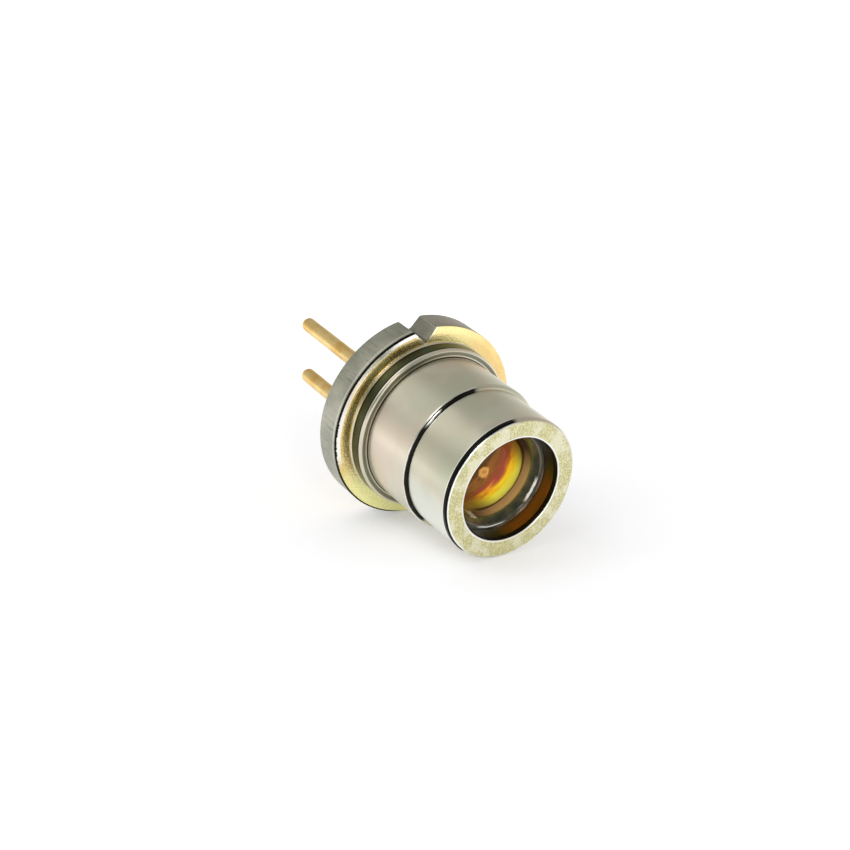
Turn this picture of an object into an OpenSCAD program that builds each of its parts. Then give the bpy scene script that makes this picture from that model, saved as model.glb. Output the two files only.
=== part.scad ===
// Laser diode in a metal can, with a lens in a stepped barrel.
// Millimetres. The origin is the centre of the flange's front face, +Z runs
// along the beam towards the nose, and +X points at the first V-notch.

/* [Flange] */
// Diameter of the flange, the size that a holder grips
flange_d = 5.6; // [5.3:0.05:6.4]
// Thickness of the flange
flange_t = 0.85; // [0.6:0.05:1.4]
// Width of the shallow bevel round the flange's front face
bevel_w = 0.2; // [0.1:0.01:0.25]
// Drop of that bevel at the rim
bevel_h = 0.04; // [0.02:0.01:0.1]
// Size of the broken edge round the flange's back face
back_edge = 0.05; // [0.02:0.01:0.1]
// Width of the flat seat between the bevel and the cap
seat_w = 0.23; // [0.1:0.01:0.3]
// Depth of each V-notch below the rim
notch_depth = 0.32; // [0.2:0.01:0.4]
// Opening angle of each V-notch
notch_angle = 92; // [80:1:100]
// Radius of a notch's root
notch_root_r = 0.08; // [0.03:0.01:0.12]

/* [Leads] */
// Diameter of every lead
lead_d = 0.42; // [0.35:0.01:0.5]
// Diameter of the circle that the leads stand on
lead_circle_d = 2.1; // [1.9:0.01:2.3]
// Angle from the first notch to the laser lead
lead_turn = 36.4; // [0:0.1:90]
// Length of the laser lead behind the flange
laser_lead_l = 4.5; // [2:0.1:12]
// Length of the welded lead behind the flange
case_lead_l = 4.2; // [2:0.1:12]
// Length of the monitor lead behind the flange
monitor_lead_l = 4; // [2:0.1:12]
// Height of the two inner lead ends above the flange
post_lead_h = 0.75; // [0.6:0.01:0.9]
// Width of the glass ring round a lead
glass_w = 0.21; // [0.15:0.01:0.25]
// Depth of the glass below each face of the flange
glass_dip = 0.05; // [0.02:0.01:0.1]

/* [Cap] */
// Height of the foot ring
foot_h = 0.49; // [0.3:0.01:0.7]
// Width of the step from the foot ring to the rear barrel
foot_w = 0.22; // [0.12:0.01:0.3]
// Radius of the foot ring's front corner
foot_corner_r = 0.1; // [0.04:0.01:0.11]
// How far the weld lip stands out from the foot ring
lip_w = 0.03; // [0.01:0.01:0.05]
// Height of the weld lip
lip_h = 0.06; // [0.03:0.01:0.1]
// Length of the rear barrel
rear_l = 1.8; // [1.6:0.01:2.2]
// Wall of the rear barrel
rear_wall = 0.37; // [0.25:0.01:0.45]
// Width of the shoulder between the two barrels
shoulder_w = 0.12; // [0.09:0.01:0.2]
// Bevel on the shoulder's edge
shoulder_bevel = 0.07; // [0.03:0.01:0.08]
// Length of the front barrel
front_l = 1.76; // [1.6:0.01:2.2]
// Bevel round the nose
nose_bevel = 0.06; // [0.02:0.01:0.12]
// Wall of the nose round the bore
nose_wall = 0.55; // [0.4:0.01:0.6]
// Broken edge at the bore's mouth
bore_edge = 0.04; // [0.02:0.01:0.08]
// Depth of the bore down to the ledge that carries the lens
bore_depth = 1.65; // [1.5:0.01:1.8]
// Width of that ledge
ledge_w = 0.35; // [0.25:0.01:0.45]
// Thickness of that ledge
ledge_t = 0.3; // [0.2:0.01:0.4]

/* [Lens] */
// Gap between the lens and the bore
lens_gap = 0.02; // [0.01:0.01:0.05]
// Thickness of the lens at its rim
lens_rim_t = 0.55; // [0.4:0.01:0.65]
// Radius of curvature of the front dome
front_curve_r = 1.9; // [1.5:0.05:4]
// Radius of curvature of the back dome
back_curve_r = 2.4; // [1.8:0.05:5]
// Gap between a dome's edge and the ring or ledge round it
dome_gap = 0.03; // [0.02:0.01:0.06]
// Width of the sealing ring at its foot
ring_w = 0.24; // [0.2:0.01:0.3]
// Height of the sealing ring's flat top above the lens rim
ring_h = 0.53; // [0.4:0.01:0.6]
// Width of the sealing ring's flat top
ring_top_w = 0.11; // [0.06:0.01:0.15]
// Height of the ring's throat
throat_h = 0.28; // [0.15:0.01:0.35]
// How much the throat widens over its height
throat_draft = 0.02; // [0:0.01:0.04]

/* [Laser] */
// Gap between the heat sink's round back and the cap
post_gap = 0.25; // [0.1:0.01:0.35]
// Width of the heat sink
post_w = 1.7; // [1.4:0.01:1.9]
// Height of the heat sink
post_h = 1.15; // [1:0.01:1.4]
// Gap between the heat sink's flat face and the glass
post_face_gap = 0.05; // [0.02:0.01:0.1]
// Width of the submount
submount_w = 0.8; // [0.6:0.01:1]
// Height of the submount
submount_h = 0.8; // [0.5:0.01:0.95]
// Width of the laser chip
chip_w = 0.3; // [0.2:0.01:0.35]
// Length of the laser chip along the beam
chip_l = 0.3; // [0.2:0.01:0.45]
// Thickness of the laser chip
chip_t = 0.12; // [0.08:0.01:0.15]
// Side of the photodiode
diode_w = 0.5; // [0.35:0.01:0.55]
// Thickness of the photodiode
diode_t = 0.2; // [0.1:0.01:0.3]
// Gap between the photodiode and the submount's front
diode_gap = 0.04; // [0.02:0.01:0.08]
// Diameter of the bond wires
wire_d = 0.05; // [0.03:0.01:0.06]
// Diameter of a bond's foot
bond_d = 0.12; // [0.08:0.01:0.14]
// Rise of a long bond wire above the line between its feet
long_loop = 0.28; // [0.2:0.01:0.35]
// Rise of the short bond wire above the line between its feet
short_loop = 0.2; // [0.16:0.01:0.24]

/* [Hidden] */
$fn = 96;
past = 1; // how far a cutting shape runs past what it cuts

// Radii, from the flange's rim inwards
flange_r = flange_d / 2;
lip_r = flange_r - bevel_w - seat_w;
foot_r = lip_r - lip_w;
rear_r = foot_r - foot_w;
front_r = rear_r - shoulder_w;
bore_r = front_r - nose_wall;
cavity_r = rear_r - rear_wall;
aperture_r = bore_r - ledge_w;
lens_r = bore_r - lens_gap;
throat_r = bore_r - ring_w;

// Heights above the flange's front face
shoulder_z = foot_h + rear_l;
nose_z = shoulder_z + front_l;
ledge_z = nose_z - bore_depth;
cavity_z = ledge_z - ledge_t;
lens_top_z = ledge_z + lens_rim_t;

// Leads
lead_r = lead_d / 2;
lead_circle_r = lead_circle_d / 2;
glass_r = lead_r + glass_w;

// The laser's stripe lies on the axis: the chip's bare face is the plane y = 0
post_face = glass_r + post_face_gap;
submount_t = post_face - chip_t;
submount_z = post_h - submount_h;
diode_y = diode_w / 2 + diode_gap - chip_t;

// Bond wires: each ends in the middle of its feet
wire_r = wire_d / 2;
bond_t = wire_d;
bond_mid = bond_t * 0.6;
ground_from_x = -(submount_w + chip_w) / 4;
ground_to_x = -(submount_w + post_w) / 4;

// A solid turned about the axis from its outline [radius, height]
module turned(outline) rotate_extrude() polygon(outline);

// The inner parts share a frame whose +X points at the laser lead
module inside() rotate(lead_turn) children();

module at_laser_lead() inside() translate([lead_circle_r, 0, 0]) children();
module at_monitor_lead() inside() translate([-lead_circle_r, 0, 0]) children();
module at_case_lead() inside() translate([0, lead_circle_r, 0]) children();

// Round pin from a height down to a domed tip behind the flange
module pin(top_z, length) {
    tip_z = -flange_t - length + lead_r;
    translate([0, 0, tip_z]) {
        cylinder(r = lead_r, h = top_z - tip_z);
        sphere(r = lead_r);
    }
}

// Tube of glass between a lead and its hole
module glass() difference() {
    translate([0, 0, glass_dip - flange_t]) cylinder(r = glass_r, h = flange_t - 2 * glass_dip);
    translate([0, 0, -flange_t - past]) cylinder(r = lead_r, h = flange_t + 2 * past);
}

// V-shaped cutter with a round root, pointing at the axis from +X
module notch() {
    half = notch_angle / 2;
    side = notch_root_r / tan(half);
    root_x = flange_r - notch_depth + notch_root_r;
    apex_x = root_x - notch_root_r / sin(half);
    open_x = flange_r + past;
    open_y = (open_x - apex_x) * tan(half);
    translate([0, 0, -flange_t - past]) linear_extrude(flange_t + 2 * past) {
        translate([root_x, 0]) circle(r = notch_root_r);
        polygon([
            [apex_x + side * cos(half), side * sin(half)], [apex_x + side * cos(half), -side * sin(half)],
            [open_x, -open_y], [open_x, open_y]
        ]);
    }
}

// Part of a ball that rises from the plane z = 0, on a circle of base_r
module dome(base_r, curve_r) intersection() {
    translate([0, 0, -sqrt(curve_r * curve_r - base_r * base_r)]) sphere(r = curve_r);
    translate([-curve_r, -curve_r, 0]) cube(2 * curve_r);
}

// Arc of wire from one point to another, rising sideways by roll about the line between them
module loop(from, to, rise, roll) {
    span = to - from;
    chord = norm(span);
    arc_r = (chord * chord / 4 + rise * rise) / (2 * rise);
    half = asin(chord / 2 / arc_r);
    translate(from)
        rotate([roll, -asin(span.z / chord), atan2(span.y, span.x)])
        translate([chord / 2, 0, rise - arc_r])
        rotate([90, half - 90, 0])
        rotate_extrude(angle = 2 * half)
        translate([arc_r, 0])
        circle(r = wire_r);
}

// Foot of a bond, standing on a face that looks along +Z, or along +Y
module foot_up() cylinder(d = bond_d, h = bond_t);
module foot_front() rotate([-90, 0, 0]) foot_up();

module base() color("goldenrod") difference() {
    turned([
        [0, -flange_t], [flange_r - back_edge, -flange_t], [flange_r, back_edge - flange_t],
        [flange_r, -bevel_h], [flange_r - bevel_w, 0], [0, 0]
    ]);
    notch();
    rotate(180) notch();
    for (side = [-1, 1])
        inside() translate([side * lead_circle_r, 0, -flange_t - past]) cylinder(r = glass_r, h = flange_t + 2 * past);
}

module lead_laser() color("gold") at_laser_lead() pin(post_lead_h, laser_lead_l);

module lead_case() color("gold") at_case_lead() pin(-flange_t, case_lead_l);

module lead_monitor() color("gold") at_monitor_lead() pin(post_lead_h, monitor_lead_l);

module glass_laser() color("darkslategray") at_laser_lead() glass();

module glass_monitor() color("darkslategray") at_monitor_lead() glass();

// Half-round post on the flange, its flat face just clear of the glass
module heat_sink() color("gold") inside() intersection() {
    cylinder(r = cavity_r - post_gap, h = post_h);
    translate([-post_w / 2, -cavity_r - post_face, 0]) cube([post_w, cavity_r, post_h]);
}

module submount() color("ivory") inside()
    translate([-submount_w / 2, -post_face, submount_z]) cube([submount_w, submount_t, submount_h]);

module laser_chip() color("dimgray") inside()
    translate([-chip_w / 2, -chip_t, post_h - chip_l]) cube([chip_w, chip_t, chip_l]);

module photodiode() color("midnightblue") inside()
    translate([-diode_w / 2, diode_y - diode_w / 2, 0]) cube([diode_w, diode_w, diode_t]);

// Chip to the top of the laser lead
module wire_laser() color("gold") inside() {
    chip_z = post_h - chip_l / 2;
    translate([0, 0, chip_z]) foot_front();
    translate([lead_circle_r, 0, post_lead_h]) foot_up();
    loop([0, bond_mid, chip_z], [lead_circle_r, 0, post_lead_h + bond_mid], long_loop, -45);
}

// Submount to the flat face of the heat sink
module wire_ground() color("gold") inside() {
    bond_z = submount_z + submount_h / 2;
    translate([ground_from_x, -chip_t, bond_z]) foot_front();
    translate([ground_to_x, -post_face, bond_z]) foot_front();
    loop([ground_from_x, bond_mid - chip_t, bond_z], [ground_to_x, bond_mid - post_face, bond_z], short_loop, 90);
}

// Photodiode to the top of the monitor lead
module wire_monitor() color("gold") inside() {
    from_x = -diode_w / 4;
    translate([from_x, diode_y, diode_t]) foot_up();
    translate([-lead_circle_r, 0, post_lead_h]) foot_up();
    loop([from_x, diode_y, diode_t + bond_mid], [-lead_circle_r, 0, post_lead_h + bond_mid], long_loop, 0);
}

// Turned shell: weld lip, foot ring, two barrels, bore, lens ledge and cavity
module cap() color("silver") rotate_extrude() {
    translate([foot_r - foot_corner_r, foot_h - foot_corner_r]) circle(r = foot_corner_r);
    polygon([
        [cavity_r, 0], [lip_r, 0], [lip_r, lip_h / 2], [foot_r, lip_h],
        [foot_r, foot_h - foot_corner_r], [foot_r - foot_corner_r, foot_h], [rear_r, foot_h],
        [rear_r, shoulder_z - shoulder_bevel], [rear_r - shoulder_bevel, shoulder_z], [front_r, shoulder_z],
        [front_r, nose_z - nose_bevel], [front_r - nose_bevel, nose_z],
        [bore_r + bore_edge, nose_z], [bore_r, nose_z - bore_edge], [bore_r, ledge_z],
        [aperture_r, ledge_z], [aperture_r, cavity_z], [cavity_r, cavity_z]
    ]);
}

module lens() color("orange", 0.6) {
    translate([0, 0, ledge_z]) cylinder(r = lens_r, h = lens_rim_t);
    translate([0, 0, lens_top_z]) dome(throat_r - dome_gap, front_curve_r);
    translate([0, 0, ledge_z]) mirror([0, 0, 1]) dome(aperture_r - dome_gap, back_curve_r);
}

// Ring of sealing glass on the lens rim: flat top, funnel and throat
module lens_seal() color("darkolivegreen") translate([0, 0, lens_top_z]) turned([
    [throat_r, 0], [bore_r, 0], [bore_r, ring_h], [bore_r - ring_top_w, ring_h],
    [throat_r + throat_draft, throat_h]
]);

base();
lead_laser();
lead_case();
lead_monitor();
glass_laser();
glass_monitor();
heat_sink();
submount();
laser_chip();
photodiode();
wire_laser();
wire_ground();
wire_monitor();
cap();
lens();
lens_seal();
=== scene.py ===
from functools import partial
from math import asin, atan2, cos, pi, radians, sin, sqrt, tan

import bmesh
import bpy
from mathutils import Matrix, Vector


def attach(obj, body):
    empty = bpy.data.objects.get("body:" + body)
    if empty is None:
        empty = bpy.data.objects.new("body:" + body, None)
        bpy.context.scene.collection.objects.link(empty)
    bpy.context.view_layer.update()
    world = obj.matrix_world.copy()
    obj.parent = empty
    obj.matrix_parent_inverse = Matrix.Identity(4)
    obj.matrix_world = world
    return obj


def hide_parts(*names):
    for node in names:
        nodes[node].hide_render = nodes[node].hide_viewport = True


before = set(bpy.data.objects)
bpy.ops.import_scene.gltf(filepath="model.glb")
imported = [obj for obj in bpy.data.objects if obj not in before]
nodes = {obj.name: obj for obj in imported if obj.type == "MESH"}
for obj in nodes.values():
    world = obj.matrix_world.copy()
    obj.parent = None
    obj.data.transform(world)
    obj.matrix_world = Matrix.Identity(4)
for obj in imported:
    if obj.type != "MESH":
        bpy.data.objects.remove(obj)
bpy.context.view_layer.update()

MM = 0.001
scene = bpy.context.scene

# Sizes of the part, in millimetres, in the part's own frame
FLANGE_R = 2.8
FLANGE_T = 0.85
BEVEL_IN_R = 2.6
BEVEL_DROP = 0.04
NOTCH_ROOT_X = 2.56
NOTCH_ROOT_R = 0.08
NOTCH_HALF_DEGREES = 46
NOTCH_HALF = radians(NOTCH_HALF_DEGREES)
LEAD_R = 0.21
LEAD_CIRCLE_R = 1.05
LEAD_TURN = radians(36.4)
CASE_TURN = LEAD_TURN + pi / 2
MONITOR_TURN = LEAD_TURN + pi
HOLE_R = 0.42
FOOT_R = 2.34
FOOT_FLARE_R = 2.37
FOOT_TOP_Z = 0.49
REAR_R = 2.12
FRONT_R = 2.0
BORE_R = 1.45
CAVITY_R = 1.75
APERTURE_R = 1.10
SHOULDER_Z = 2.29
NOSE_Z = 4.05
LEDGE_Z = 2.40
CAVITY_Z = 2.10
LENS_TOP_Z = 2.95
SEAL_TOP_Z = 3.48

# The camera that the photo implies, in millimetres of the part's frame
CAMERA_PLACE = Vector((23.18402, 21.87031, 32.76063))
CAMERA_AIM = Vector((-0.08822, 0.01300, 0.05408))
CAMERA_UP = Vector((0.86053, -0.26802, -0.43319))
CAMERA_LENS = 71.153

# Painted light on the lens, standing in for the lit gold inside seen through it: colours from its shaded
# brown side to its bright yellow side, and the middle of its painted glint
LENS_PAINTED_LIGHT = (
    (0.00, (0.07, 0.03, 0.008)),
    (0.28, (0.12, 0.05, 0.010)),
    (0.37, (0.30, 0.11, 0.018)),
    (0.44, (0.24, 0.07, 0.018)),
    (0.50, (0.42, 0.05, 0.035)),
    (0.55, (0.52, 0.14, 0.02)),
    (0.61, (1.00, 0.42, 0.02)),
    (0.70, (1.00, 0.72, 0.03)),
    (0.86, (1.00, 0.92, 0.10)),
)
LENS_GLINT = (0.26, 0.34, 3.31)


# ---------------------------------------------------------------- mesh tools

def rounded(corners, steps=5):
    """Points of an outline whose corners are (x, y, radius)."""
    points = []
    count = len(corners)
    for i, (x, y, radius) in enumerate(corners):
        here = Vector((x, y))
        if radius <= 0:
            points.append(here)
            continue
        to_last = (Vector(corners[i - 1][:2]) - here).normalized()
        to_next = (Vector(corners[(i + 1) % count][:2]) - here).normalized()
        half = to_last.angle(to_next) / 2
        centre = here + (to_last + to_next).normalized() * (radius / sin(half))
        first = here + to_last * (radius / tan(half)) - centre
        last = here + to_next * (radius / tan(half)) - centre
        sweep = first.angle(last)
        for k in range(steps + 1):
            t = k / steps
            arm = first * sin((1 - t) * sweep) + last * sin(t * sweep)
            points.append(centre + arm / sin(sweep))
    return points


def arc(centre, radius, start, end, steps):
    """Points of an arc in the plane of an outline, from one angle to another in degrees."""
    points = []
    for k in range(steps + 1):
        angle = radians(start + (end - start) * k / steps)
        points.append(Vector((centre[0] + radius * cos(angle), centre[1] + radius * sin(angle))))
    return points


def finished(name, mesh_data, sharp_angle=35):
    """Object from a bmesh in millimetres: normals outward, smooth, with creases kept sharp."""
    bmesh.ops.remove_doubles(mesh_data, verts=mesh_data.verts, dist=0.0005)
    bmesh.ops.recalc_face_normals(mesh_data, faces=mesh_data.faces)
    bmesh.ops.scale(mesh_data, vec=(MM, MM, MM), verts=mesh_data.verts)
    mesh = bpy.data.meshes.new(name)
    mesh_data.to_mesh(mesh)
    mesh_data.free()
    for polygon in mesh.polygons:
        polygon.use_smooth = True
    mesh.set_sharp_from_angle(angle=radians(sharp_angle))
    piece = bpy.data.objects.new(name, mesh)
    scene.collection.objects.link(piece)
    return piece


def lathe(name, outline, steps=288, at=(0, 0), sharp_angle=35):
    """Solid of revolution about a line parallel to Z, from a closed outline of (radius, height)."""
    shape = bmesh.new()
    rings = []
    for point in outline:
        if point[0] < 1e-6:
            rings.append([shape.verts.new((at[0], at[1], point[1]))])
            continue
        ring = []
        for k in range(steps):
            angle = 2 * pi * k / steps
            x = at[0] + point[0] * cos(angle)
            y = at[1] + point[0] * sin(angle)
            ring.append(shape.verts.new((x, y, point[1])))
        rings.append(ring)
    for i, ring in enumerate(rings):
        bridge(shape, ring, rings[(i + 1) % len(rings)])
    return finished(name, shape, sharp_angle)


def bridge(shape, ring, after):
    """Faces between two rings, either of which may be a single vertex."""
    if len(ring) == 1 and len(after) == 1:
        return
    steps = max(len(ring), len(after))
    for k in range(steps):
        j = (k + 1) % steps
        if len(ring) == 1:
            shape.faces.new((ring[0], after[k], after[j]))
        elif len(after) == 1:
            shape.faces.new((ring[k], after[0], ring[j]))
        else:
            shape.faces.new((ring[k], after[k], after[j], ring[j]))


def on_lead_circle(turn):
    """Place of a lead on the circle of leads, from its turn about the axis."""
    return (LEAD_CIRCLE_R * cos(turn), LEAD_CIRCLE_R * sin(turn))


def inside(x, y, z):
    """A point of the laser's own frame, whose +X points at the laser lead."""
    return Vector((
        x * cos(LEAD_TURN) - y * sin(LEAD_TURN),
        x * sin(LEAD_TURN) + y * cos(LEAD_TURN),
        z,
    ))


def keep(piece, node, material):
    """Rides the piece, lets it stand for its CAD node and gives it its finish."""
    piece.data.materials.clear()
    piece.data.materials.append(material)
    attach(piece, "root")
    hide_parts(node)
    return piece


# ---------------------------------------------------------------- node tools

def new_material(name):
    """A new material with its node tree and its main shader."""
    material = bpy.data.materials.new(name)
    material.use_nodes = True
    tree = material.node_tree
    shader = tree.nodes["Principled BSDF"]
    return material, tree, shader


def link(tree, source, target):
    tree.links.new(source, target)


def coordinates(tree):
    """The part's own coordinates in millimetres."""
    place = tree.nodes.new("ShaderNodeTexCoord")
    scale = tree.nodes.new("ShaderNodeVectorMath")
    scale.operation = "SCALE"
    scale.inputs["Scale"].default_value = 1 / MM
    link(tree, place.outputs["Object"], scale.inputs[0])
    return scale.outputs[0]


def maths(tree, operation, first, second=None, clamp=False):
    """Result of a sum of one or two values, each a number or an output."""
    node = tree.nodes.new("ShaderNodeMath")
    node.operation = operation
    node.use_clamp = clamp
    for socket, value in zip(node.inputs, (first, second)):
        if value is None:
            continue
        if isinstance(value, (int, float)):
            socket.default_value = value
        else:
            link(tree, value, socket)
    return node.outputs[0]


def ramp(tree, value, low, high, smooth=True):
    """0 below low, 1 above high, in between a soft or straight rise."""
    node = tree.nodes.new("ShaderNodeMapRange")
    node.interpolation_type = "SMOOTHSTEP" if smooth else "LINEAR"
    node.inputs["From Min"].default_value = low
    node.inputs["From Max"].default_value = high
    link(tree, value, node.inputs["Value"])
    return node.outputs[0]


def spread(tree, value, low, high):
    """Spreads a value of 0 to 1 over a wanted range."""
    node = tree.nodes.new("ShaderNodeMapRange")
    node.inputs["To Min"].default_value = low
    node.inputs["To Max"].default_value = high
    link(tree, value, node.inputs["Value"])
    return node.outputs[0]


def band(tree, value, low, high, soft):
    """1 between low and high, with soft edges."""
    rise = ramp(tree, value, low - soft, low + soft)
    fall = ramp(tree, value, high - soft, high + soft)
    return maths(tree, "SUBTRACT", rise, fall, clamp=True)


def noise(tree, place, scale, detail=3, roughness=0.55, distortion=0.0):
    """Soft random values of about 0 to 1; scale counts the spots in a millimetre."""
    node = tree.nodes.new("ShaderNodeTexNoise")
    node.inputs["Scale"].default_value = scale
    node.inputs["Detail"].default_value = detail
    node.inputs["Roughness"].default_value = roughness
    node.inputs["Distortion"].default_value = distortion
    link(tree, place, node.inputs["Vector"])
    return node.outputs["Fac"]


def mixed(tree, factor, first, second):
    """Mix of two colours, each a tuple or an output."""
    node = tree.nodes.new("ShaderNodeMix")
    node.data_type = "RGBA"
    if isinstance(factor, (int, float)):
        node.inputs["Factor"].default_value = factor
    else:
        link(tree, factor, node.inputs["Factor"])
    sockets = [s for s in node.inputs if s.type == "RGBA"]
    for socket, value in zip(sockets, (first, second)):
        if isinstance(value, tuple):
            socket.default_value = (*value, 1)
        else:
            link(tree, value, socket)
    return [s for s in node.outputs if s.type == "RGBA"][0]


def polar(tree, place):
    """Radius about Z, then x, y and z, from coordinates."""
    parts = tree.nodes.new("ShaderNodeSeparateXYZ")
    link(tree, place, parts.inputs[0])
    x, y, z = parts.outputs
    squares = maths(tree, "ADD", maths(tree, "MULTIPLY", x, x), maths(tree, "MULTIPLY", y, y))
    return maths(tree, "SQRT", squares), x, y, z


def facing_axis(tree):
    """How far the surface faces along the beam axis, -1 to 1."""
    place = tree.nodes.new("ShaderNodeTexCoord")
    parts = tree.nodes.new("ShaderNodeSeparateXYZ")
    link(tree, place.outputs["Normal"], parts.inputs[0])
    return parts.outputs[2]


def towards(tree, x, y, radius, degrees):
    """Cosine of the angle round the axis between a point and a direction."""
    along_x = maths(tree, "MULTIPLY", x, cos(radians(degrees)))
    along_y = maths(tree, "MULTIPLY", y, sin(radians(degrees)))
    return maths(tree, "DIVIDE", maths(tree, "ADD", along_x, along_y), radius)


def distance_along(tree, x, y, degrees):
    """Distance from the axis in one direction."""
    angle = radians(degrees)
    part_x = maths(tree, "MULTIPLY", x, cos(angle))
    part_y = maths(tree, "MULTIPLY", y, sin(angle))
    return maths(tree, "ADD", part_x, part_y)


def bump(tree, shader, height, strength, distance):
    """Relief of a height pattern, its distance in millimetres."""
    node = tree.nodes.new("ShaderNodeBump")
    node.inputs["Strength"].default_value = strength
    node.inputs["Distance"].default_value = distance * MM
    link(tree, height, node.inputs["Height"])
    link(tree, node.outputs[0], shader.inputs["Normal"])


def arc_mask(tree, x, y, radius, middle, half, soft):
    """1 over an arc round the axis, from middle - half to middle + half degrees, soft at its ends."""
    near = towards(tree, x, y, radius, middle)
    return ramp(tree, near, cos(radians(half + soft)), cos(radians(half - soft)))


def covered(tree, base, mask, colour, strength=1.0):
    """A colour over another one where the mask says so."""
    factor = mask if strength == 1.0 else maths(tree, "MULTIPLY", mask, strength)
    return mixed(tree, factor, base, colour)


def product(tree, *masks):
    """1 only where every mask is 1."""
    whole = masks[0]
    for mask in masks[1:]:
        whole = maths(tree, "MULTIPLY", whole, mask)
    return whole


def uneven(tree, pattern, amount):
    """A pattern of 0 to 1 as a small change to either side of nothing."""
    return maths(tree, "MULTIPLY", maths(tree, "SUBTRACT", pattern, 0.5), amount)


def stretched(tree, place, scale, detail):
    """Noise drawn out along the axes whose scale is small."""
    mapping = tree.nodes.new("ShaderNodeMapping")
    mapping.inputs["Scale"].default_value = scale
    link(tree, place, mapping.inputs["Vector"])
    return noise(tree, mapping.outputs[0], 1.0, detail)


def seen_directly(tree):
    """1 for what the camera sees, straight or by gloss or glass, and 0 for light on the object."""
    path = tree.nodes.new("ShaderNodeLightPath")
    seen = maths(tree, "MAXIMUM", path.outputs["Is Camera Ray"], path.outputs["Is Glossy Ray"])
    return maths(tree, "MAXIMUM", seen, path.outputs["Is Transmission Ray"])


# ---------------------------------------------------------------- materials

def gold_face(tree, cloud, grain, sector):
    """Gold plate with darker grains and painted reflections that make it brighter on three arcs round the
    axis.
    """
    gold = mixed(tree, ramp(tree, cloud, 0.35, 0.65), (0.80, 0.60, 0.22), (0.92, 0.74, 0.36))
    gold = mixed(tree, ramp(tree, grain, 0.52, 0.72), gold, (0.62, 0.42, 0.12))
    # Painted reflections: brighter gold on three arcs round the axis.
    gold = covered(tree, gold, sector(-75, 45, 25), (1.0, 0.72, 0.30), 0.55)
    gold = covered(tree, gold, sector(-18, 12, 14), (1.0, 0.90, 0.42), 0.6)
    return covered(tree, gold, sector(145, 28, 16), (1.0, 0.97, 0.46))


def dull_rim(tree, place, radius, z, cloud, sector):
    """Dull nickel, streaked along the axis, with painted shade on one side, a painted highlight line by
    its front edge and painted shade in the notches.
    """
    streaks = stretched(tree, place, (26, 26, 1.5), 3)
    rim = mixed(tree, ramp(tree, cloud, 0.3, 0.7), (0.35, 0.36, 0.29), (0.47, 0.46, 0.38))
    rim = mixed(tree, ramp(tree, streaks, 0.5, 0.75), rim, (0.25, 0.25, 0.20))
    # Painted shade: one side of the rim darker and redder.
    rim = covered(tree, rim, sector(-45, 32, 14), (0.30, 0.23, 0.20), 0.6)
    # Painted highlight: a pale line by the front edge.
    edge_line = product(tree, band(tree, z, -0.165, -0.125, 0.01), sector(52, 50, 8))
    rim = covered(tree, rim, edge_line, (0.80, 0.80, 0.70), 0.6)
    # Painted shade in the notches.
    notch_shade = ramp(tree, radius, 2.785, 2.765)
    return covered(tree, rim, notch_shade, (0.20, 0.195, 0.155), 0.65)


def notch_edges(tree, colour, x, y, front_face):
    """A painted dark reflection on the edge and a painted highlight as a cream line along the first notch,
    over the colour of the face.
    """
    tip_x = 2.48
    inward = maths(tree, "MULTIPLY", maths(tree, "ABSOLUTE", y), cos(NOTCH_HALF))
    outward = maths(tree, "MULTIPLY", maths(tree, "SUBTRACT", x, tip_x), sin(NOTCH_HALF))
    off_notch = maths(tree, "SUBTRACT", inward, outward)
    beside = product(tree, front_face, ramp(tree, x, 2.30, 2.36))
    cream = product(tree, band(tree, off_notch, 0.05, 0.105, 0.008), beside)
    colour = covered(tree, colour, cream, (1.0, 0.96, 0.74), 0.8)
    dark = product(tree, ramp(tree, off_notch, 0.05, 0.04), beside)
    return covered(tree, colour, dark, (0.03, 0.028, 0.02), 0.9)


def flange_metal():
    """Gold plate with an orange-peel face, a painted white highlight along its bevel and a painted dark
    reflection line by its front edge; the rim is dull nickel.
    """
    material, tree, shader = new_material("flange_metal")
    place = coordinates(tree)
    radius, x, y, z = polar(tree, place)
    sector = partial(arc_mask, tree, x, y, radius)
    face = ramp(tree, maths(tree, "ABSOLUTE", facing_axis(tree)), 0.55, 0.8)
    front_face = product(tree, face, ramp(tree, z, -0.2, -0.1))
    cloud = noise(tree, place, 1.6, 3)
    grain = noise(tree, place, 16, 4, 0.6)
    fine = noise(tree, place, 48, 2, 0.6)
    rim = dull_rim(tree, place, radius, z, cloud, sector)
    colour = mixed(tree, face, rim, gold_face(tree, cloud, grain, sector))
    colour = notch_edges(tree, colour, x, y, front_face)
    # Painted highlight: a white band on the bevel, its edge jittered by grain near 88 degrees.
    edge_jitter = product(tree, uneven(tree, grain, 0.09), sector(88, 14, 8))
    jittered_radius = maths(tree, "ADD", radius, edge_jitter)
    bevel = product(tree, band(tree, jittered_radius, 2.655, 2.755, 0.01), front_face, sector(52, 48, 6))
    colour = covered(tree, colour, bevel, (1.0, 0.99, 0.96))
    # Painted dark reflection: a black line along the front edge of the rim.
    near_edge = product(tree, ramp(tree, jittered_radius, 2.745, 2.765), ramp(tree, z, -0.085, -0.07))
    line = product(tree, near_edge, sector(82, 82, 8))
    colour = covered(tree, colour, line, (0.012, 0.012, 0.01))
    link(tree, colour, shader.inputs["Base Color"])
    shader.inputs["Metallic"].default_value = 1
    rough = mixed(tree, face, (0.42,) * 3, (0.27,) * 3)
    rough = mixed(tree, bevel, rough, (0.18,) * 3)
    rough = maths(tree, "ADD", rough, uneven(tree, grain, 0.22))
    link(tree, rough, shader.inputs["Roughness"])
    height = maths(tree, "ADD", grain, maths(tree, "MULTIPLY", fine, 0.4))
    calm = maths(tree, "SUBTRACT", 1.0, bevel)
    bump(tree, shader, maths(tree, "MULTIPLY", height, calm), 0.5, 0.012)
    return material


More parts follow.
